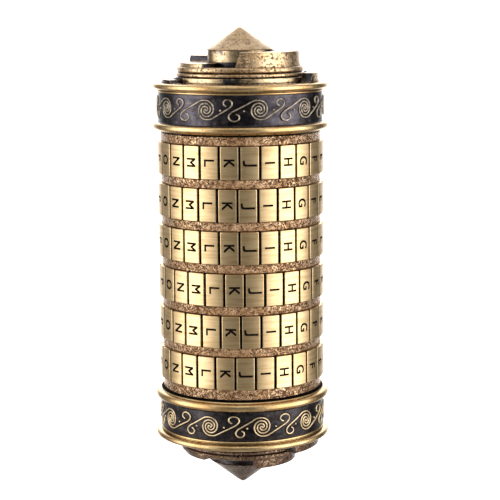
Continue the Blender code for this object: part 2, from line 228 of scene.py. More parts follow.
def fillet(outline, radius):
    """Rounds every corner of a closed (radius, height) outline that has room for it.
    Two corners share an edge, so each takes less than half of it."""
    rounded = []
    count = len(outline)
    for i in range(count):
        before, corner, after = (Vector(outline[(i + k) % count]) for k in (-1, 0, 1))
        back, ahead = before - corner, after - corner
        if min(corner.x, before.x, after.x) <= 0.0 or min(back.length, ahead.length) < 1e-7:
            rounded.append(tuple(corner))
            continue
        reach = min(radius, 0.42 * back.length, 0.42 * ahead.length)
        bend = back.angle(ahead)
        if reach < 0.02 * MM or bend > math.radians(165.0):
            rounded.append(tuple(corner))
            continue
        start, end = corner + back.normalized() * reach, corner + ahead.normalized() * reach
        for t in [k / 3 for k in range(4)]:
            point = start * (1 - t) ** 2 + corner * 2 * t * (1 - t) + end * t ** 2
            rounded.append(tuple(point))
    return rounded


def arc(centre, radii, start, end, count, squareness=1.0):
    """Points of an ellipse; squareness below 1 makes it boxier."""
    points = [(math.cos(t), math.sin(t)) for t in np.radians(np.linspace(start, end, count))]
    return [(centre[0] + radii[0] * math.copysign(abs(c) ** squareness, c),
             centre[1] + radii[1] * math.copysign(abs(s) ** squareness, s))
            for c, s in points]


def lathe_mesh(name, outline, steps=FINE):
    """Sweeps an outline round Z; points on the axis become one vertex each."""
    shape = bmesh.new()
    closed = min(radius for radius, _ in outline) > 0.0
    turns = [2.0 * math.pi * k / steps for k in range(steps)]
    rows = []
    for radius, height in outline:
        if radius <= 0.0:
            rows.append([shape.verts.new((0.0, 0.0, height))] * steps)
        else:
            rows.append([shape.verts.new((radius * math.cos(t), radius * math.sin(t), height))
                         for t in turns])
    pairs = list(zip(rows, rows[1:] + rows[:1])) if closed else list(zip(rows, rows[1:]))
    for upper, lower in pairs:
        for k in range(steps):
            corners = [upper[k], lower[k], lower[(k + 1) % steps], upper[(k + 1) % steps]]
            corners = list(dict.fromkeys(corners))
            if len(corners) > 2:
                shape.faces.new(corners)
    bmesh.ops.recalc_face_normals(shape, faces=shape.faces)
    mesh = mesh_of(shape, name)
    finish_mesh(mesh)
    return mesh


def wear(mesh, depth, size, seed):
    """Presses shallow, irregular dents inwards, so that no edge is machine perfect."""
    shift = Vector((seed * 7.3, seed * 3.1, seed * 5.7))
    for vertex in mesh.vertices:
        value = noise.fractal(vertex.co / size + shift, 1.0, 2.0, 3)
        radial = Vector((vertex.co.x, vertex.co.y, 0.0))
        if radial.length > 1e-6:
            vertex.co -= radial.normalized() * depth * max(0.0, min(1.0, 0.5 + value))


def cut_mesh(mesh, cutter, transfer=False):
    """Takes the closed cutter mesh away from the mesh with an exact Boolean. With transfer,
    the cut faces keep the cutter's material, and the cutter may overlap itself."""
    target, tool = new_object("cut_target", mesh), new_object("cut_tool", cutter)
    boolean = target.modifiers.new("cut", "BOOLEAN")
    boolean.operation = "DIFFERENCE"
    boolean.solver = "EXACT"
    boolean.material_mode = "TRANSFER" if transfer else "INDEX"
    boolean.use_self = transfer
    boolean.object = tool
    result = evaluated_mesh(target)
    bpy.data.objects.remove(target)
    bpy.data.objects.remove(tool)
    return result


def turned_to(azimuth):
    """Turns what points along X to the azimuth."""
    return Matrix.Rotation(math.radians(azimuth - 90.0), 4, "Z")


def box_mesh(name, low, high, azimuth):
    """A box whose X side points at the azimuth."""
    shape = bmesh.new()
    size, middle = Vector(high) - Vector(low), (Vector(high) + Vector(low)) / 2.0
    place = turned_to(azimuth) @ Matrix.Translation(middle) @ Matrix.Diagonal((*size, 1.0))
    bmesh.ops.create_cube(shape, size=1.0, matrix=place)
    return mesh_of(shape, name)


# --- materials ------------------------------------------------------------------------

class Surface:
    """One procedural material: a Principled shader and short calls that feed it."""

    def __init__(self, name, metallic=1.0):
        self.material = bpy.data.materials.new(name)
        self.material.use_nodes = True
        self.tree = self.material.node_tree
        self.shader = self.tree.nodes["Principled BSDF"]
        self.shader.inputs["Metallic"].default_value = metallic
        self.place = self.node("TexCoord").outputs["Object"]
        self.number = self.node("ObjectInfo").outputs["Random"]
        self.normal = None

    def link(self, source, target):
        self.tree.links.new(source, target)

    def node(self, kind, **values):
        """A new node with these input values; an underscore stands for a space."""
        node = self.tree.nodes.new("ShaderNode" + kind)
        for name, value in values.items():
            node.inputs[name.replace("_", " ")].default_value = value
        return node

    def noise(self, scale, detail=4.0, roughness=0.55, stretch=(1.0, 1.0, 1.0), seed=0.0):
        """Noise with `scale` features in a metre; each object gets its own patch."""
        place = self.node("Mapping", Scale=stretch)
        self.link(self.place, place.inputs["Vector"])
        node = self.node("TexNoise", Scale=scale, Detail=detail, Roughness=roughness)
        node.noise_dimensions = "4D"
        self.link(place.outputs["Vector"], node.inputs["Vector"])
        spread = self.node("Math")
        spread.operation = "MULTIPLY_ADD"
        self.link(self.number, spread.inputs[0])
        spread.inputs[1].default_value = 37.0
        spread.inputs[2].default_value = seed
        self.link(spread.outputs[0], node.inputs["W"])
        return node.outputs["Fac"]

    def ramp(self, value, low, high):
        """0 below low, 1 above high, smooth between."""
        node = self.node("MapRange", From_Min=low, From_Max=high)
        node.interpolation_type = "SMOOTHSTEP"
        self.link(value, node.inputs["Value"])
        return node.outputs["Result"]

    def spread(self, value, low, high):
        """Maps 0 to 1 onto low to high."""
        node = self.node("MapRange", To_Min=low, To_Max=high)
        self.link(value, node.inputs["Value"])
        return node.outputs["Result"]

    def multiply(self, value, by):
        node = self.node("Math")
        node.operation = "MULTIPLY"
        self.link(value, node.inputs[0])
        node.inputs[1].default_value = by
        return node.outputs[0]

    def mix(self, factor, first, second):
        """Colours may be tuples or sockets."""
        node = self.node("Mix")
        node.data_type = "RGBA"
        self.link(factor, node.inputs["Factor"])
        for socket, colour in ((node.inputs[6], first), (node.inputs[7], second)):
            if isinstance(colour, tuple):
                socket.default_value = (*colour, 1.0)
            else:
                self.link(colour, socket)
        return node.outputs[2]

    def crevice_shade(self, distance, own=True):
        """Ambient occlusion as a mask for painted shade: 0 in the open, 1 deep in a corner, made
        by the piece's own shape or by any.
        """
        node = self.node("AmbientOcclusion", Distance=distance)
        node.samples = 6
        node.only_local = own
        return self.ramp(self.spread(node.outputs["AO"], 1.0, 0.0), 0.25, 0.75)

    def bump(self, height, strength, distance):
        """Adds a bump on top of the earlier ones."""
        node = self.node("Bump", Strength=strength, Distance=distance)
        self.link(height, node.inputs["Height"])
        if self.normal is not None:
            self.link(self.normal, node.inputs["Normal"])
        self.normal = node.outputs["Normal"]

    def done(self, colour, roughness):
        """Plugs everything in and returns the material."""
        for socket, value in (("Base Color", colour), ("Roughness", roughness)):
            if isinstance(value, float):
                self.shader.inputs[socket].default_value = value
            else:
                self.link(value, self.shader.inputs[socket])
        if self.normal is not None:
            self.link(self.normal, self.shader.inputs["Normal"])
        return self.material


def satin_brass():
    """Letter rings: pale brass, brushed round the rim."""
    s = Surface("satin_brass")
    hairs = s.noise(1.0, 3.0, 0.6, (90.0, 90.0, 5200.0))
    threads = s.noise(1.0, 3.0, 0.6, (150.0, 150.0, 1500.0), 4.0)
    cloud = s.noise(130.0, 3.0, 0.5, seed=9.0)
    stain = s.ramp(s.noise(260.0, 5.0, 0.65, seed=14.0), 0.56, 0.78)
    tint = s.mix(cloud, (0.86, 0.66, 0.39), (0.78, 0.55, 0.28))
    tint = s.mix(s.ramp(threads, 0.35, 0.75), tint, (0.62, 0.42, 0.20))
    tint = s.mix(s.multiply(stain, 0.35), tint, (0.52, 0.33, 0.14))
    s.bump(hairs, 0.35, 0.00006)
    s.bump(threads, 0.35, 0.00012)
    return s.done(tint, s.spread(hairs, 0.24, 0.42))


def wax_and_shade_black():
    """The black wax in the letters, and black painted as shade into the grooves, the necks
    beside the caps and round the scroll.
    """
    s = Surface("wax_and_shade_black", 0.0)
    grain = s.noise(3200.0, 3.0)
    s.bump(grain, 0.4, 0.00005)
    s.shader.inputs["Specular IOR Level"].default_value = 0.06
    return s.done(s.mix(grain, (0.002, 0.0015, 0.001), (0.010, 0.007, 0.005)), 0.8)


def polished_brass():
    """Flanges and rims: browned gold, rubbed bright."""
    s = Surface("polished_brass")
    cloud = s.noise(150.0, 4.0, 0.6, (1.0, 1.0, 2.5))
    rub = s.noise(900.0, 4.0, 0.7, (1.0, 1.0, 4.0), 5.0)
    fleck = s.ramp(s.noise(1500.0, 4.0, 0.72, (1.0, 1.0, 1.6), 11.0), 0.54, 0.66)
    tint = s.mix(s.ramp(cloud, 0.35, 0.65), (0.84, 0.62, 0.33), (0.62, 0.39, 0.17))
    tint = s.mix(s.spread(rub, 0.0, 0.5), tint, (0.50, 0.31, 0.12))
    tint = s.mix(s.multiply(fleck, 0.6), tint, (0.24, 0.13, 0.05))
    # painted shade: the colour goes near black in corners and crevices
    tint = s.mix(s.multiply(s.crevice_shade(0.0012), 0.92), tint, (0.03, 0.018, 0.01))
    s.bump(rub, 0.25, 0.00012)
    return s.done(tint, s.spread(rub, 0.14, 0.34))


def antique_brass(name, light, deep, stain, pitted):
    """Domes: browned gold with dark specks in its pits; pitted, 0 to 1, is how many."""
    s = Surface(name)
    cloud = s.noise(220.0, 4.0, 0.6)
    grain = s.noise(1500.0, 5.0, 0.7, seed=3.0)
    pits = s.ramp(s.noise(1700.0, 4.0, 0.66, seed=8.0), 0.53 - 0.07 * pitted,
                  0.62 - 0.07 * pitted)
    tint = s.mix(s.ramp(cloud, 0.35, 0.65), light, deep)
    tint = s.mix(s.spread(grain, 0.0, 0.6), tint, stain)
    tint = s.mix(s.multiply(pits, 0.85), tint, (0.10, 0.055, 0.03))
    # painted shade: near black in corners and recesses, also where other pieces crowd in
    tint = s.mix(s.multiply(s.crevice_shade(0.0018, own=False), 0.97), tint, (0.016, 0.011, 0.010))
    s.bump(grain, 0.35, 0.00015)
    s.bump(s.spread(pits, 1.0, 0.0), 0.6, 0.00015)
    return s.done(tint, s.spread(grain, 0.08, 0.32))


def mottled_copper():
    """Shoulders between the dials: brown copper, blotched and pitted."""
    s = Surface("mottled_copper")
    cloud = s.noise(260.0, 5.0, 0.65)
    blotch = s.ramp(s.noise(900.0, 5.0, 0.70, seed=4.0), 0.42, 0.58)
    pits = s.ramp(s.noise(1900.0, 5.0, 0.74, seed=9.0), 0.48, 0.58)
    tint = s.mix(s.ramp(cloud, 0.35, 0.65), (0.86, 0.60, 0.38), (0.52, 0.32, 0.17))
    tint = s.mix(s.multiply(blotch, 0.75), tint, (0.26, 0.13, 0.06))
    tint = s.mix(s.multiply(pits, 0.9), tint, (0.05, 0.022, 0.014))
    # painted shade: near black in the gaps at the shoulders' edges and in other corners
    tint = s.mix(s.multiply(s.crevice_shade(0.0009, own=False), 0.95), tint, (0.010, 0.005, 0.003))
    s.bump(s.spread(blotch, 1.0, 0.0), 0.4, 0.0002)
    s.bump(s.spread(pits, 1.0, 0.0), 0.6, 0.00015)
    return s.done(tint, s.spread(cloud, 0.10, 0.34))


def blackened_brass(name, tone, shine, bare):
    """Blackened metal, cloudy and scuffed; bare, 0 to 1, is how much brass shows through."""
    s = Surface(name)
    cloud = s.ramp(s.noise(190.0, 5.0, 0.7, (1.0, 1.0, 1.6)), 0.30, 0.70)
    scuff = s.ramp(s.noise(800.0, 5.0, 0.72, (1.0, 1.0, 1.4), 6.0), 0.54, 0.72)
    worn = s.ramp(s.noise(150.0, 5.0, 0.62, (1.0, 1.0, 0.7), 21.0),
                  0.66 - 0.24 * bare, 0.76 - 0.26 * bare)
    grain = s.noise(2600.0, 4.0, 0.65, seed=2.0)
    tint = s.mix(cloud, tuple(0.2 * c for c in tone), tuple(1.7 * c for c in tone))
    tint = s.mix(s.multiply(scuff, 0.5), tint, (0.30, 0.23, 0.15))
    tint = s.mix(s.multiply(worn, 0.85), tint, (0.74, 0.55, 0.32))
    pits = s.ramp(s.noise(1700.0, 4.0, 0.66, seed=8.0), 0.53, 0.62)
    tint = s.mix(s.multiply(pits, 0.8), tint, (0.03, 0.022, 0.018))
    # painted shade: near black in corners and beside the scroll relief
    tint = s.mix(s.multiply(s.crevice_shade(0.0006, own=False), 0.95), tint, (0.004, 0.003, 0.003))
    s.bump(grain, 0.22, 0.0001)
    s.bump(scuff, 0.20, 0.0001)
    return s.done(tint, s.spread(cloud, shine, shine + 0.16))


def relief_brass(name, light, deep):
    """The raised scroll, worn bright, with painted shade that darkens its foot and leaves its
    top brighter.
    """
    s = Surface(name)
    rub = s.noise(1200.0, 4.0, 0.7)
    tint = s.mix(s.ramp(rub, 0.35, 0.70), light, deep)
    # painted shade at the foot of the relief
    tint = s.mix(s.multiply(s.crevice_shade(0.0005), 0.6), tint, (0.03, 0.02, 0.012))
    s.bump(rub, 0.2, 0.00008)
    return s.done(tint, s.spread(rub, 0.26, 0.5))


def machined(name, light, deep, rough):
    """Pieces inside the cryptex: turned metal with fine tool rings."""
    s = Surface(name)
    rings = s.noise(1.0, 2.0, 0.5, (120.0, 120.0, 4200.0))
    cloud = s.noise(170.0, 4.0, 0.6, seed=3.0)
    tint = s.mix(cloud, light, deep)
    # painted shade: darker in corners and crevices
    tint = s.mix(s.multiply(s.crevice_shade(0.0015), 0.7), tint, tuple(0.15 * c for c in deep))
    s.bump(rings, 0.25, 0.00006)
    return s.done(tint, s.spread(rings, rough, rough + 0.16))


# --- dials ----------------------------------------------------------------------------

def draw_out_tail(mesh, letter):
    """Stretches what lies beside the stem of a J or an L, and leaves the stem alone."""
    if letter not in TAILS:
        return
    across = [v.co.x for v in mesh.vertices]
    stem = max(across) - FONT_STEM if letter == "J" else min(across) + FONT_STEM
    for vertex in mesh.vertices:
        beside = vertex.co.x < stem if letter == "J" else vertex.co.x > stem
        if beside:
            vertex.co.x = stem + (vertex.co.x - stem) * TAILS[letter]


def letter_cutter(wax_and_shade, middle):
    """All the letters as solids standing in the rim, their tops turned to the right."""
    text = bpy.data.curves.new("letter", "FONT")
    text.size = 1.0
    text.resolution_u = 4
    text.extrude = 0.5
    holder = new_object("letter", text)
    size = CAP_HEIGHT / FONT_CAP
    joined = bmesh.new()
    front = ALPHABET.index(FRONT_LETTER)
    for index, letter in enumerate(ALPHABET):
        text.body = letter
        bpy.context.view_layer.update()
        mesh = evaluated_mesh(holder)
        draw_out_tail(mesh, letter)
        low = Vector([min(v.co[k] for v in mesh.vertices) for k in range(3)])
        high = Vector([max(v.co[k] for v in mesh.vertices) for k in range(3)])
        centre = Matrix.Translation(-(low + high) / 2.0)
        shrink = Matrix.Diagonal((size * LETTER_WIDTH, size, LETTER_DEPTH, 1.0))
        # letter right becomes down, letter up becomes +azimuth, extrusion becomes outwards
        stand = Matrix(((0, 0, 1, 0), (0, 1, 0, 0), (-1, 0, 0, 0), (0, 0, 0, 1)))
        turn = Matrix.Rotation(math.radians((front - index + 0.5) * PANEL), 4, "Z")
        # four overlapping copies make a bolder stroke; each floor is a hair deeper
        for number, (across, up) in enumerate(((1, 1), (1, -1), (-1, 1), (-1, -1))):
            depth = Matrix.Translation((
                RIM_RADIUS - ENGRAVING + LETTER_DEPTH / 2.0 - FLOOR_STEP * number,
                across * LETTER_WEIGHT, middle + up * LETTER_WEIGHT))
            copy = mesh.copy()
            copy.transform(turn @ depth @ stand @ shrink @ centre)
            joined.from_mesh(copy)
            bpy.data.meshes.remove(copy)
        bpy.data.meshes.remove(mesh)
    bpy.data.objects.remove(holder)
    bmesh.ops.remove_doubles(joined, verts=joined.verts, dist=1e-7)
    bmesh.ops.recalc_face_normals(joined, faces=joined.faces)
    cutter = mesh_of(joined, "letters")
    cutter.materials.append(wax_and_shade)
    return cutter


def panel_section():
    """(arc position, radius) round one panel, from one groove's middle to the next."""
    width = 2.0 * math.pi * RIM_RADIUS / len(ALPHABET)
    edge = [(0.0, GROOVE_FLOOR), (GROOVE_HALF * 0.8, GROOVE_FLOOR),
            (GROOVE_HALF, RIM_RADIUS - PANEL_EDGE),
            (GROOVE_HALF + PANEL_EDGE * 0.35, RIM_RADIUS - PANEL_EDGE * 0.3),
            (GROOVE_HALF + PANEL_EDGE, RIM_RADIUS)]
    first = GROOVE_HALF + PANEL_EDGE
    flat = [(first + (width - 2.0 * first) * k / 8.0, RIM_RADIUS) for k in range(1, 8)]
    far = [(width - s, r) for s, r in reversed(edge[1:])]
    return [(s / RIM_RADIUS, r) for s, r in edge + flat + far]


def letter_ring_mesh(brass, wax_and_shade, top, bottom):
    """The grooved rim as rows of matching points, then the letters cut into it. The
    grooves' faces take the black as their material, painted shade in the grooves."""
    section = panel_section()
    round_points = [(math.radians(PANEL) * k + turn, radius)
                    for k in range(len(ALPHABET)) for turn, radius in section]
    chamfer = PANEL_EDGE
    rows = [(top, None), (top, chamfer), (top - chamfer * 0.3, chamfer * 0.3),
            (top - chamfer, 0.0), (bottom + chamfer, 0.0),
            (bottom + chamfer * 0.3, chamfer * 0.3), (bottom, chamfer), (bottom, None)]
    shape = bmesh.new()
    grid = []
    for height, inset in rows:
        grid.append([shape.verts.new((
            (RING_BORE if inset is None else radius - inset) * math.cos(turn),
            (RING_BORE if inset is None else radius - inset) * math.sin(turn), height))
            for turn, radius in round_points])
    count = len(round_points)
    for upper, lower in zip(grid, grid[1:] + grid[:1]):
        for k in range(count):
            face = shape.faces.new((upper[k], lower[k], lower[(k + 1) % count],
                                    upper[(k + 1) % count]))
            radii = [Vector((v.co.x, v.co.y)).length for v in face.verts]
            # groove faces take the black: painted shade in the grooves
            in_groove = RING_BORE + 0.01 * MM < min(radii) < RIM_RADIUS - PANEL_EDGE * 1.2
            face.material_index = 1 if in_groove and max(radii) < RIM_RADIUS else 0
    bmesh.ops.recalc_face_normals(shape, faces=shape.faces)
    mesh = mesh_of(shape, "letter_ring_blank")
    for material in (brass, wax_and_shade):
        mesh.materials.append(material)
    ring = cut_mesh(mesh, letter_cutter(wax_and_shade, (top + bottom) / 2.0), transfer=True)
    finish_mesh(ring, 28.0)
    return ring


def keep_rim_round(mesh):
    """Gives the rim's faces a cylinder's normals, so the letters' corners don't dent it."""
    normals = []
    loop_normals = [corner.vector.copy() for corner in mesh.corner_normals]
    for face in mesh.polygons:
        for loop in face.loop_indices:
            place = mesh.vertices[mesh.loops[loop].vertex_index].co
            radial = Vector((place.x, place.y, 0.0))
            on_rim = radial.length > RIM_RADIUS - 0.06 * MM and face.normal.dot(
                radial.normalized()) > 0.985 and abs(face.normal.z) < 0.05
            normals.append(radial.normalized() if on_rim else loop_normals[loop])
    mesh.normals_split_custom_set(normals)


def code_ring_mesh():
    """Shoulder, barrel, pin groove and notch, with the dial's top face at height 0."""
    low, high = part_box("code_ring_1")
    depth = high.z - low.z
    barrel = RING_BORE - 0.2 * MM
    groove, groove_top, groove_foot = PIN_GROOVE
    outline = [(CODE_BORE, 0.0), (SHOULDER_RADIUS, 0.0), (SHOULDER_RADIUS, -SHOULDER_HEIGHT),
               (barrel, -SHOULDER_HEIGHT), (barrel, -depth), (CODE_BORE, -depth),
               (CODE_BORE, groove_foot), (groove, groove_foot), (groove, groove_top),
               (CODE_BORE, groove_top)]
    ring = lathe_mesh("code_ring", fillet(outline, 0.16 * MM))
    notch = box_mesh("notch", (SLEEVE_BORE, -NOTCH_HALF, -12.0 * MM),
                     (NOTCH_RADIUS, NOTCH_HALF, CUT_MARGIN), PANEL / 2.0 + 90.0)
    ring = cut_mesh(ring, notch)
    finish_mesh(ring)
    wear(ring, 0.05 * MM, 0.9 * MM, 1)
    return ring


def dials(brass, wax_and_shade, copper):
    """Six copies of a letter ring and a code ring, each turned its own way."""
    ring_top = -SHOULDER_HEIGHT - RIM_GAPS[0]
    ring_bottom = -(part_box("code_ring_1")[1].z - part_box("code_ring_2")[1].z) + RIM_GAPS[1]
    letters = letter_ring_mesh(brass, wax_and_shade, ring_top, ring_bottom)
    code = code_ring_mesh()
    for index, turn in enumerate(DIAL_TURNS):
        number = index + 1
        place = Matrix.Translation((0.0, 0.0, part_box(f"code_ring_{number}")[1].z))
        rim, inside = letters.copy(), code.copy()
        for mesh in (rim, inside):
            mesh.transform(turned_to(turn))
        keep_rim_round(rim)
        add_piece(f"letter_ring_{number}_fine", rim, None, f"dial_{number}",
                  f"letter_ring_{number}", place)
        add_piece(f"code_ring_{number}_fine", inside, copper, f"dial_{number}",
                  f"code_ring_{number}", place)


# --- scroll relief --------------------------------------------------------------------

def smooth_route(points, per_span=5):
    """Catmull-Rom curve through the points."""
    route = []
    ends = [points[0]] + list(points) + [points[-1]]
    for a, b, c, d in zip(ends, ends[1:], ends[2:], ends[3:]):
        for k in range(per_span):
            t = k / per_span
            route.append(tuple(0.5 * (2 * b[i] + (c[i] - a[i]) * t
                                      + (2 * a[i] - 5 * b[i] + 4 * c[i] - d[i]) * t * t
                                      + (3 * b[i] - a[i] - 3 * c[i] + d[i]) * t ** 3)
                               for i in range(2)))
    route.append(points[-1])
    return route


def scroll_arm(curl_centre, curl_radii):
    """One arm, as (distance round, height): out of the spiral, up the diagonal, round a curl."""
    spiral = []
    for part in [k / 51 for k in range(52)]:
        radius = SPIRAL_RADIUS * (0.03 + 0.97 * part)
        turn = math.radians(-90.0) - 2.0 * math.pi * SPIRAL_TURNS * (1.0 - part)
        spiral.append((radius * math.cos(turn), radius * math.sin(turn)))
    curl = []
    for part in [k / 17.0 for k in range(18)]:
        shrink = 1.0 - CURL_SHRINK * part
        turn = math.radians(CURL_START + CURL_SWEEP * part)
        curl.append((curl_centre[0] + shrink * curl_radii[0] * math.cos(turn),
                     curl_centre[1] + shrink * curl_radii[1] * math.sin(turn)))
    foot, head = DIAGONAL_FOOT, (curl_centre[0] + 0.35 * curl_radii[0],
                                 curl_centre[1] - 1.12 * curl_radii[1])
    diagonal = [tuple(foot[i] + (head[i] - foot[i]) * part for i in range(2))
                for part in (0.0, 0.33, 0.67, 1.0)]
    return spiral[:-1] + smooth_route([spiral[-1], *diagonal, curl[0]]) + curl[1:]


def on_band(radius, azimuth, along, height):
    """The point that lies `along` round the band from the azimuth."""
    turn = math.radians(azimuth - 90.0) + along / radius
    return radius * math.cos(turn), radius * math.sin(turn), height


def relief_mesh(radius, middle, side_name, thickness, dot_radius):
    """All the arms and dots of one band, wrapped round it."""
    curve = bpy.data.curves.new("relief", "CURVE")
    curve.dimensions = "3D"
    curve.bevel_depth = thickness
    curve.bevel_resolution = 2
    curve.use_fill_caps = True
    azimuths = [SCROLL_PHASE[side_name] + motif * 360.0 / MOTIFS for motif in range(MOTIFS)]
    outward = OUTWARD[side_name]
    arms = ((outward, scroll_arm(*OUTWARD_CURL)), (-outward, scroll_arm(*INWARD_CURL)))
    for azimuth in azimuths:
        for side, arm in arms:
            spline = curve.splines.new("POLY")
            spline.points.add(len(arm) - 1)
            for point, (along, height) in zip(spline.points, arm):
                point.co = (*on_band(radius, azimuth, side * along, middle + side * height),
                            1.0)
    holder = new_object("relief", curve)
    mesh = evaluated_mesh(holder)
    bpy.data.objects.remove(holder)
    shape = bmesh.new()
    shape.from_mesh(mesh)
    for azimuth in azimuths:
        for side, (along, height) in ((1.0, UP_DOT), (-1.0, DOWN_DOT)):
            place = Matrix.Translation(
                on_band(radius, azimuth, side * along, middle + side * height))
            bmesh.ops.create_uvsphere(shape, u_segments=12, v_segments=8,
                                      radius=dot_radius, matrix=place)
    shape.to_mesh(mesh)
    shape.free()
    finish_mesh(mesh, 60.0)
    return mesh


# --- end caps -------------------------------------------------------------------------

def stair_mesh(name, radii, base, levels, turns, draft, side, looks, inner):
    """A ring of stairs: cross-sections round the axis, each as high as its own level. The
    lowest level and the risers take the second look, a dark one that is painted shade, and so
    does the outer stair's wall at the next level. The inner stair's riser down to the lowest
    level stays bright."""
    ends = list(turns[1:]) + [turns[0] - 360.0]
    last = len(levels) - 1
    sections = []
    for level, (begin, end) in enumerate(zip(turns, ends)):
        leave = STAIR_LEAN[0] if level == 0 else STAIR_LEAN[1]
        arrive = STAIR_LEAN[0] if level == last else STAIR_LEAN[1]
        count = max(3, round(abs(begin - end) / 2.0))
        for k in range(count + 1):
            azimuth = begin - leave + (end + arrive - begin + leave) * k / count
            sections.append((azimuth, level))
    shape = bmesh.new()
    grid = []
    for azimuth, level in sections:
        turn = math.radians(azimuth - 90.0)
        foot, height = radii[1][level], levels[level]
        outer = foot - draft * (height - base)
        corners = ((radii[0], base), (foot, base), (outer, height), (radii[0], height))
        grid.append([shape.verts.new((r * math.cos(turn), r * math.sin(turn), side * z))
                     for r, z in corners])
    for i, now in enumerate(grid):
        after = grid[(i + 1) % len(grid)]
        level, following = sections[i][1], sections[(i + 1) % len(grid)][1]
        dark = level == 0 or level != following
        if inner and level == last and following == 0:
            dark = False
        for k in range(4):
            face = shape.faces.new((now[k], now[(k + 1) % 4], after[(k + 1) % 4], after[k]))
            wall = k == 1 and level == 1 and not inner
            # index 1 is the dark look: painted shade on risers, the lowest level and that wall
            face.material_index = 1 if dark or wall else 0
    bmesh.ops.recalc_face_normals(shape, faces=shape.faces)
    sharp = [edge for edge in shape.edges
             if len(edge.link_faces) == 2 and edge.calc_face_angle() > math.radians(25.0)]
    bmesh.ops.bevel(shape, geom=sharp, offset=0.16 * MM, offset_type="OFFSET", segments=2,
                    profile=0.6, affect="EDGES", clamp_overlap=True)
    mesh = mesh_of(shape, name)
    for look in looks:
        mesh.materials.append(look)
    finish_mesh(mesh, 40.0)
    return mesh


def outward_span(node):
    """How far from the object's middle a cap's CAD piece starts and ends."""
    low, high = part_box(node)
    return sorted((abs(low.z), abs(high.z)))


def cup_outline(side_name):
    """The cup that the cap is built on, with its flange and the neck beside that, which takes
    black as painted shade.
    """
    face, end = outward_span(f"{side_name}_cap_cup")
    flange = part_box(f"{side_name}_rim_ring")[1].x
    lip_end = face + LIP_END[side_name]
    lip_middle = (face + LIP_START + lip_end) / 2.0
    bore, neck = CUP_BORE[side_name], NECK_RADIUS[side_name]
    return ([(CUP_WALL[0], end), (CUP_WALL[0], face + CUP_WALL[1]),
             (22.6 * MM, lip_end + 0.1 * MM), (23.5 * MM, lip_end)]
            + arc((flange - LIP_REACH, lip_middle), (LIP_REACH, lip_end - lip_middle),
                  84.0, -84.0, 18, BOXY)
            + [(23.4 * MM, face + NECK_HEIGHT), (neck, face + NECK_HEIGHT), (neck, face),
               (bore, face), (bore, CUP_FLOOR), (STUD_HOLE, CUP_FLOOR), (STUD_HOLE, end)])


def band_span(side_name):
    """The scroll band's start and end, between the cup's flange and the rim ring."""
    face = outward_span(f"{side_name}_cap_cup")[0]
    rim_start = outward_span(f"{side_name}_rim_ring")[0]
    return face + LIP_END[side_name] - 0.1 * MM, rim_start - 0.02 * MM


def band_outline(side_name):
    """The band that carries the scroll, hollowed out beside the cup's flange."""
    start, end = band_span(side_name)
    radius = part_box(f"{side_name}_scroll_band")[1].x
    across, along = BAND_COVE
    return ([(BAND_BORE, end), (radius - 0.1 * MM, end), (radius, end - 0.25 * MM),
             (radius, start + along)]
            + arc((radius + across, start + along), BAND_COVE, 180.0, 245.0, 6)[1:]
            + [(radius + 0.25 * MM, start), (BAND_BORE, start)])


def rim_outline(side_name):
    """The outer flange, flatter towards the dome, with a bead beside the band."""
    start, end = outward_span(f"{side_name}_rim_ring")
    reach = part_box(f"{side_name}_rim_ring")[1].x - RIM_CENTRE[0]
    return ([(RIM_BORE, end - 0.05 * MM), (23.2 * MM, end)]
            + arc(RIM_CENTRE, (reach, end - RIM_CENTRE[1]), 85.0, 0.0, 10, BOXY)
            + arc(RIM_CENTRE, (reach, 0.85 * MM), 0.0, -84.0, 10, BOXY)[1:]
            + [(23.42 * MM, 48.9 * MM)]
            + arc(RIM_BEAD, (0.32 * MM, 0.34 * MM), 75.0, -75.0, 8)
            + [(RIM_BORE, start)])


def tier_outline(side_name):
    """The disc between the two stairs, with two beads round it."""
    start, end = outward_span(f"{side_name}_tier_disc")
    return ([(STUD_HOLE, end), (TIER_TOP, end), (TIER_TOP, 55.05 * MM)]
            + arc(UPPER_BEAD, (0.55 * MM, 0.75 * MM), 88.0, -80.0, 12, BOXY)
            + [(17.5 * MM, 53.62 * MM)]
            + arc(LOWER_BEAD, (0.5 * MM, 0.52 * MM), 80.0, -80.0, 10, BOXY)
            + [(TIER_DRUM, 52.35 * MM), (TIER_DRUM, start), (STUD_HOLE, start)])


def foot_outline(side_name):
    """The low ring at the tier disc's foot."""
    start = outward_span(f"{side_name}_tier_disc")[0]
    bore, radius = 17.5 * MM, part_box(f"{side_name}_tier_disc")[1].x - 0.1 * MM
    return fillet([(bore, FOOT_HEIGHT), (radius, FOOT_HEIGHT), (radius, start), (bore, start)],
                  0.25 * MM)


def finial_outline(side_name):
    """The cone with its blunt tip, its stem, and the stud that clamps the cap."""
    tip = outward_span(f"{side_name}_finial")[1]
    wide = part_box(f"{side_name}_finial")[1].x
    base, stem = CONE_BASE[side_name], wide - 0.3 * MM
    begin, slant = CONE_TIP[0], tip - CONE_TIP[1]
    cone = [(begin + (wide - 1.4 * MM) * part, slant - (slant - base - 0.12 * MM) * part)
            for part in [k / 10.0 for k in range(1, 11)]]
    return ([(0.0, tip), (0.35 * MM, tip - 0.04 * MM), (0.8 * MM, tip - 0.27 * MM),
             (begin, slant)] + cone
            + [(wide, base - 0.02 * MM), (wide - 0.06 * MM, base - 0.16 * MM),
               (stem, base - CONE_EDGE), (stem, STEM_START), (STUD_RADIUS, STEM_START),
               (STUD_RADIUS, STUD_START), (0.0, STUD_START)])


def collar_outline(side_name):
    """The collar at the stem's foot."""
    start = outward_span(f"{side_name}_tier_disc")[1] + 0.05 * MM
    end = STEM_START - 0.02 * MM
    bore, radius = 3.1 * MM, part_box(f"{side_name}_finial")[1].x + 0.45 * MM
    return fillet([(bore, end), (radius, end), (radius, start), (bore, start)], 0.15 * MM)


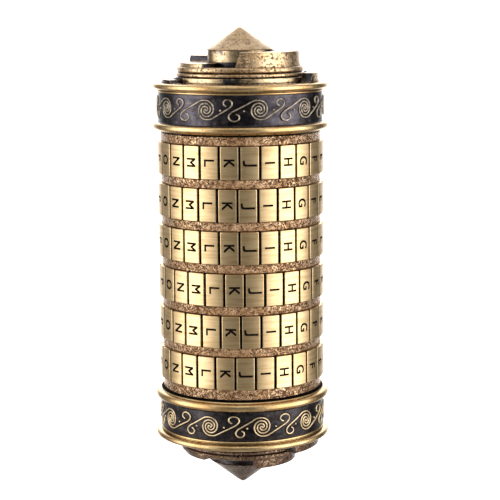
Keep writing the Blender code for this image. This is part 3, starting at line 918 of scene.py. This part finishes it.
def plug_outline(side_name):
    """The plug that takes the stud."""
    start, end = outward_span(f"{side_name}_end_plug")
    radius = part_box(f"{side_name}_end_plug")[1].x
    return fillet([(STUD_HOLE, end), (radius, end), (radius, start), (STUD_HOLE, start)],
                  0.4 * MM)


# Each turned piece's outline and slot; the last two stand for no CAD node
TURNED = {"cap_cup": (cup_outline, "polished_brass"),
          "scroll_band": (band_outline, "blackened_brass"),
          "rim_ring": (rim_outline, "polished_brass"),
          "tier_disc": (tier_outline, "antique_brass"),
          "finial": (finial_outline, "antique_brass"),
          "end_plug": (plug_outline, "plain_brass"),
          "tier_foot": (foot_outline, "antique_brass"),
          "stem_collar": (collar_outline, "antique_brass")}
EXTRAS = ("tier_foot", "stem_collar")


def two_looks(mesh, look, inner_look, height):
    """Gives the inner look to what lies nearer the object's middle than the height."""
    mesh.materials.append(look)
    mesh.materials.append(inner_look)
    for face in mesh.polygons:
        face.material_index = 1 if abs(face.center.z) < height else 0


def turned_pieces(side_name, body, looks):
    own = looks[side_name]
    first_seed = 5 if side_name == "upper" else 15
    for number, (node, (outline_of, slot)) in enumerate(TURNED.items()):
        outline = outline_of(side_name)
        if side_name == "lower":
            outline = [(radius, -height) for radius, height in reversed(outline)]
        mesh = lathe_mesh(node, outline, PLAIN if node == "end_plug" else FINE)
        wear(mesh, 0.035 * MM, 1.6 * MM, first_seed + number)
        # the cup's neck beside the dials takes the black: painted shade in the gap
        if node == "cap_cup":
            face = outward_span(f"{side_name}_cap_cup")[0]
            two_looks(mesh, own[node], looks["painted_shade"], face + NECK_HEIGHT + 0.02 * MM)
        if node == "finial":
            two_looks(mesh, own[node], own["stem"], CONE_BASE[side_name] - CONE_EDGE)
        add_piece(f"{side_name}_{node}_fine", mesh, own[node], body,
                  None if node in EXTRAS else f"{side_name}_{node}")


def scroll_pieces(side_name, body, looks):
    """The raised scroll, and a wider black one nearly sunk in the band, which is painted shade
    round it.
    """
    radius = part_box(f"{side_name}_scroll_band")[1].x
    middle = OUTWARD[side_name] * (sum(band_span(side_name)) / 2.0 + SCROLL_SHIFT[side_name])
    relief = relief_mesh(radius + 0.02 * MM, middle, side_name, RELIEF_RADIUS, DOT_RADIUS)
    add_piece(f"{side_name}_scroll_relief", relief, looks[side_name]["relief"], body)
    # a wide black tube nearly sunk in the band: painted shade round the scroll
    painted_shade = relief_mesh(radius - (SHADE_OUTLINE_RADIUS - SHADE_OUTLINE_HEIGHT), middle, side_name, SHADE_OUTLINE_RADIUS,
                       SHADE_OUTLINE_RADIUS + 0.03 * MM)
    add_piece(f"{side_name}_scroll_dirt", painted_shade, looks["painted_shade"], body)


def stair_pieces(side_name, body, looks):
    side, turns = OUTWARD[side_name], STAIR_TURNS[side_name]
    # the second look, recess, is dark: painted shade on risers and the lowest levels
    pair = (looks[side_name]["finial"], looks[side_name]["recess"])
    outer = stair_mesh("outer_stair", OUTER_STAIR, OUTER_START, OUTER_LEVELS, turns["outer"],
                       0.0, side, pair, False)
    inner = stair_mesh("inner_stair", INNER_STAIR[side_name], INNER_START,
                       INNER_LEVELS[side_name], turns["inner"], STAIR_DRAFT, side, pair, True)
    for node, mesh in (("outer_stair", outer), ("inner_stair", inner)):
        add_piece(f"{side_name}_{node}_fine", mesh, None, body, f"{side_name}_{node}")


def end_cap(side_name, body, looks):
    turned_pieces(side_name, body, looks)
    scroll_pieces(side_name, body, looks)
    stair_pieces(side_name, body, looks)


# --- sleeve, collar, vault ------------------------------------------------------------

def tube_outline(node, bore, edge=0.3 * MM):
    """A tube between the node's ends, with rounded edges."""
    low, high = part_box(node)
    radius = high.x
    return fillet([(bore, high.z), (radius, high.z), (radius, low.z), (bore, low.z)], edge)


def index_azimuth():
    """The azimuth of the row of pins, read from the frame."""
    low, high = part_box("locking_pin_1")
    middle = (low + high) / 2.0
    return math.degrees(math.atan2(middle.x, -middle.y))


def peg_mesh(radius, start, end, azimuth, height, edge=0.0):
    """A round peg with a chamfered outer edge, lying along a radius of the object."""
    rim = [(radius - edge, end), (radius, end - edge)] if edge else [(radius, end)]
    outline = [(0.0, end), *rim, (radius, start), (0.0, start)]
    mesh = lathe_mesh("peg", outline, 32)
    mesh.transform(Matrix.Translation((0.0, 0.0, height)) @ turned_to(azimuth)
                   @ Matrix.Rotation(math.radians(90.0), 4, "Y"))
    return mesh


def outer_sleeve(brass, azimuth):
    """The tube that the dials turn on, with the slot that the pins slide in."""
    sleeve = lathe_mesh("outer_sleeve", tube_outline("outer_sleeve", SLEEVE_BORE), PLAIN)
    slot_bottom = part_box("locking_pin_6")[0].z - SLOT_ROOM
    slot_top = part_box("outer_sleeve")[1].z + CUT_MARGIN
    slot = box_mesh("slot", (SLOT_CUT[0], -SLOT_HALF, slot_bottom),
                    (SLOT_CUT[1], SLOT_HALF, slot_top), azimuth)
    sleeve = cut_mesh(sleeve, slot)
    finish_mesh(sleeve)
    add_piece("outer_sleeve_fine", sleeve, brass, "sleeve_side", "outer_sleeve")


def retaining_ring(brass, steel, azimuth):
    """The ring that keeps the dials on, notched for the pins, and its three grub screws."""
    low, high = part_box("retaining_ring")
    middle = (low.z + high.z) / 2.0
    ring = lathe_mesh("retaining_ring", tube_outline("retaining_ring", COLLAR_BORE), PLAIN)
    notch = box_mesh("notch", (RING_CUT[0], -NOTCH_HALF, low.z - CUT_MARGIN),
                     (RING_CUT[1], NOTCH_HALF, high.z + CUT_MARGIN), azimuth)
    ring = cut_mesh(ring, notch)
    for number in (1, 2, 3):
        ring = cut_mesh(ring, peg_mesh(*SCREW_HOLE, azimuth + 90.0 * number, middle))
    finish_mesh(ring)
    add_piece("retaining_ring_fine", ring, brass, "sleeve_side", "retaining_ring")
    for number in (1, 2, 3):
        screw = peg_mesh(*SCREW, azimuth + 90.0 * number, middle, 0.15 * MM)
        add_piece(f"grub_screw_{number}_fine", screw, steel, "sleeve_side",
                  f"grub_screw_{number}")


def sleeve_pieces(brass, copper, steel):
    azimuth = index_azimuth()
    outer_sleeve(brass, azimuth)
    retaining_ring(brass, steel, azimuth)
    collar = lathe_mesh("seat_collar", tube_outline("seat_collar", COLLAR_BORE, 0.2 * MM))
    wear(collar, 0.05 * MM, 0.9 * MM, 3)
    add_piece("seat_collar_fine", collar, copper, "sleeve_side", "seat_collar")


def vault_pieces(brass, steel):
    azimuth = index_azimuth()
    tube = lathe_mesh("vault_tube", tube_outline("vault_tube", VAULT_BORE, 0.4 * MM), PLAIN)
    add_piece("vault_tube_fine", tube, brass, "vault_side", "vault_tube")
    for number in range(1, 7):
        low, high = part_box(f"locking_pin_{number}")
        pin = peg_mesh((high.z - low.z) / 2.0, *PIN_REACH, azimuth,
                       (low.z + high.z) / 2.0, 0.3 * MM)
        add_piece(f"locking_pin_{number}_fine", pin, steel, "vault_side",
                  f"locking_pin_{number}")


# --- studio ---------------------------------------------------------------------------

def camera():
    data = bpy.data.cameras.new("camera")
    data.lens = LENS
    data.sensor_width = 36.0
    data.clip_start = 0.01
    holder = new_object("camera", data)
    look = Matrix.Rotation(math.radians(90.0 - CAMERA_PITCH), 4, "X")
    roll = Matrix.Rotation(math.radians(CAMERA_ROLL), 4, "Z")
    holder.matrix_world = Matrix.Translation(
        (CAMERA_SIDE, -CAMERA_DISTANCE, CAMERA_HEIGHT)) @ look @ roll
    bpy.context.scene.camera = holder


def stage_sweep():
    """A pale floor that curves up into a pale wall behind."""
    floor = CAD_BOX[0][2] - FLOOR_DROP
    outline = [(-2.2, 0.0), (0.9, 0.0)]
    outline += [(0.9 + 0.5 * math.sin(t), 0.5 - 0.5 * math.cos(t))
                for t in np.radians(np.linspace(8.0, 90.0, 10))]
    outline += [(1.4, 2.4)]
    verts, faces = [], []
    for y, z in outline:
        verts += [(-2.6, y, floor + z), (2.6, y, floor + z)]
    for k in range(len(outline) - 1):
        faces.append((2 * k, 2 * k + 1, 2 * k + 3, 2 * k + 2))
    mesh = bpy.data.meshes.new("sweep")
    mesh.from_pydata(verts, [], faces)
    mesh.shade_smooth()
    sweep = new_object("sweep", mesh)
    paper = Surface("pale_paper", 0.0)
    grain = paper.noise(60.0, 3.0)
    paper.shader.inputs["Emission Color"].default_value = (1.0, 1.0, 1.0, 1.0)
    paper.shader.inputs["Emission Strength"].default_value = 0.55
    mesh.materials.append(paper.done(paper.mix(grain, (0.86, 0.86, 0.86), (0.9, 0.9, 0.9)), 0.9))
    sweep.visible_glossy = False


# Brightness of the light tent by azimuth round the object, seen level, in degrees
TENT = ((-180, 3.0), (-168, 2.8), (-156, 1.6), (-144, 0.35), (-130, 0.20), (-118, 0.18),
        (-108, 0.6), (-98, 1.6), (-88, 2.8), (-66, 3.1), (-56, 2.5), (-46, 1.2), (-36, 0.5),
        (-26, 0.25), (-10, 0.18), (5, 0.18), (15, 0.20), (26, 0.35), (34, 1.0), (44, 2.4),
        (56, 3.2), (84, 3.1), (94, 2.1), (104, 0.5), (114, 0.12), (130, 0.10), (144, 0.15),
        (156, 1.4), (168, 2.7), (180, 3.0))
TENT_PEAK = 3.2
OVERHEAD = 0.85  # brightness straight up
UNDERNEATH = 0.40  # brightness straight down


def light_tent():
    """World light: two tall soft lights left and right, dim ahead, soft above."""
    world = bpy.data.worlds.new("light_tent")
    bpy.context.scene.world = world
    world.use_nodes = True
    tree = world.node_tree
    new, link = tree.nodes.new, tree.links.new
    background = tree.nodes["Background"]
    split = new("ShaderNodeSeparateXYZ")
    link(new("ShaderNodeTexCoord").outputs["Generated"], split.inputs[0])

    def maths(operation, *values):
        node = new("ShaderNodeMath")
        node.operation = operation
        for socket, value in zip(node.inputs, values):
            if isinstance(value, float):
                socket.default_value = value
            else:
                link(value, socket)
        return node.outputs[0]

    back = maths("MULTIPLY", split.outputs["Y"], -1.0)
    turn = maths("ARCTAN2", split.outputs["X"], back)
    part = maths("MULTIPLY_ADD", turn, 0.5 / math.pi, 0.5)
    ramp = new("ShaderNodeValToRGB")
    ramp.color_ramp.interpolation = "B_SPLINE"
    stops = ramp.color_ramp.elements
    for azimuth, _ in TENT[1:-1]:
        stops.new(azimuth / 360.0 + 0.5)
    for stop, (azimuth, glow) in zip(sorted(stops, key=lambda e: e.position), TENT):
        stop.position = azimuth / 360.0 + 0.5
        level = glow / TENT_PEAK
        stop.color = (level, level, level, 1.0)
    link(part, ramp.inputs["Fac"])
    level_glow = maths("MULTIPLY", ramp.outputs["Color"], TENT_PEAK)

    def blend(value, low, high, near, far):
        """Near below low, far above high, smooth between."""
        reach = new("ShaderNodeMapRange")
        reach.interpolation_type = "SMOOTHSTEP"
        reach.inputs["From Min"].default_value = low
        reach.inputs["From Max"].default_value = high
        link(value, reach.inputs["Value"])
        mixed = new("ShaderNodeMix")
        link(reach.outputs["Result"], mixed.inputs["Factor"])
        link(near, mixed.inputs["A"])
        mixed.inputs["B"].default_value = far
        return mixed.outputs["Result"]

    glow = blend(split.outputs["Z"], 0.35, 0.85, level_glow, OVERHEAD)
    down = maths("MULTIPLY", split.outputs["Z"], -1.0)
    glow = blend(down, 0.15, 0.75, glow, UNDERNEATH)
    link(glow, background.inputs["Strength"])
    background.inputs["Color"].default_value = (1.0, 0.99, 0.975, 1.0)


def main():
    bpy.context.scene.view_settings.view_transform = "Standard"
    camera()
    light_tent()
    stage_sweep()
    wax_and_shade = wax_and_shade_black()
    copper = mottled_copper()
    plain = machined("plain_brass", (0.78, 0.56, 0.27), (0.62, 0.40, 0.17), 0.22)
    steel = machined("steel", (0.55, 0.55, 0.56), (0.38, 0.38, 0.40), 0.2)
    polished = polished_brass()
    gunmetal = blackened_brass("gunmetal", (0.055, 0.050, 0.060), 0.06, 0.0)
    charcoal = blackened_brass("charcoal", (0.045, 0.040, 0.043), 0.22, 0.0)
    worn_black = blackened_brass("worn_black", (0.09, 0.085, 0.10), 0.06, 0.9)
    gold = antique_brass("antique_brass", (0.82, 0.61, 0.39), (0.56, 0.38, 0.20),
                         (0.38, 0.24, 0.12), 0.1)
    bronze = antique_brass("antique_bronze", (0.44, 0.30, 0.20), (0.24, 0.15, 0.10),
                           (0.12, 0.07, 0.05), 1.0)
    gold_relief = relief_brass("relief_gold", (0.98, 0.80, 0.54), (0.66, 0.47, 0.26))
    dull_relief = relief_brass("relief_dull", (0.70, 0.60, 0.47), (0.13, 0.10, 0.08))
    # The recess look is painted shade on the stairs' risers and lowest levels; the black under
    # the last key is painted shade in the necks and round the scroll.
    looks = {
        "upper": {"cap_cup": polished, "rim_ring": polished, "tier_disc": gold, "finial": gold,
                  "scroll_band": gunmetal, "relief": dull_relief, "end_plug": plain,
                  "tier_foot": worn_black, "stem_collar": gunmetal, "stem": worn_black,
                  "recess": gunmetal},
        "lower": {"cap_cup": polished, "rim_ring": polished, "tier_disc": bronze,
                  "finial": bronze, "scroll_band": charcoal, "relief": gold_relief,
                  "end_plug": plain, "tier_foot": bronze, "stem_collar": charcoal,
                  "stem": charcoal, "recess": charcoal},
        "painted_shade": wax_and_shade}
    dials(satin_brass(), wax_and_shade, copper)
    sleeve_pieces(plain, copper, steel)
    vault_pieces(plain, steel)
    end_cap("lower", "sleeve_side", looks)
    end_cap("upper", "vault_side", looks)


main()
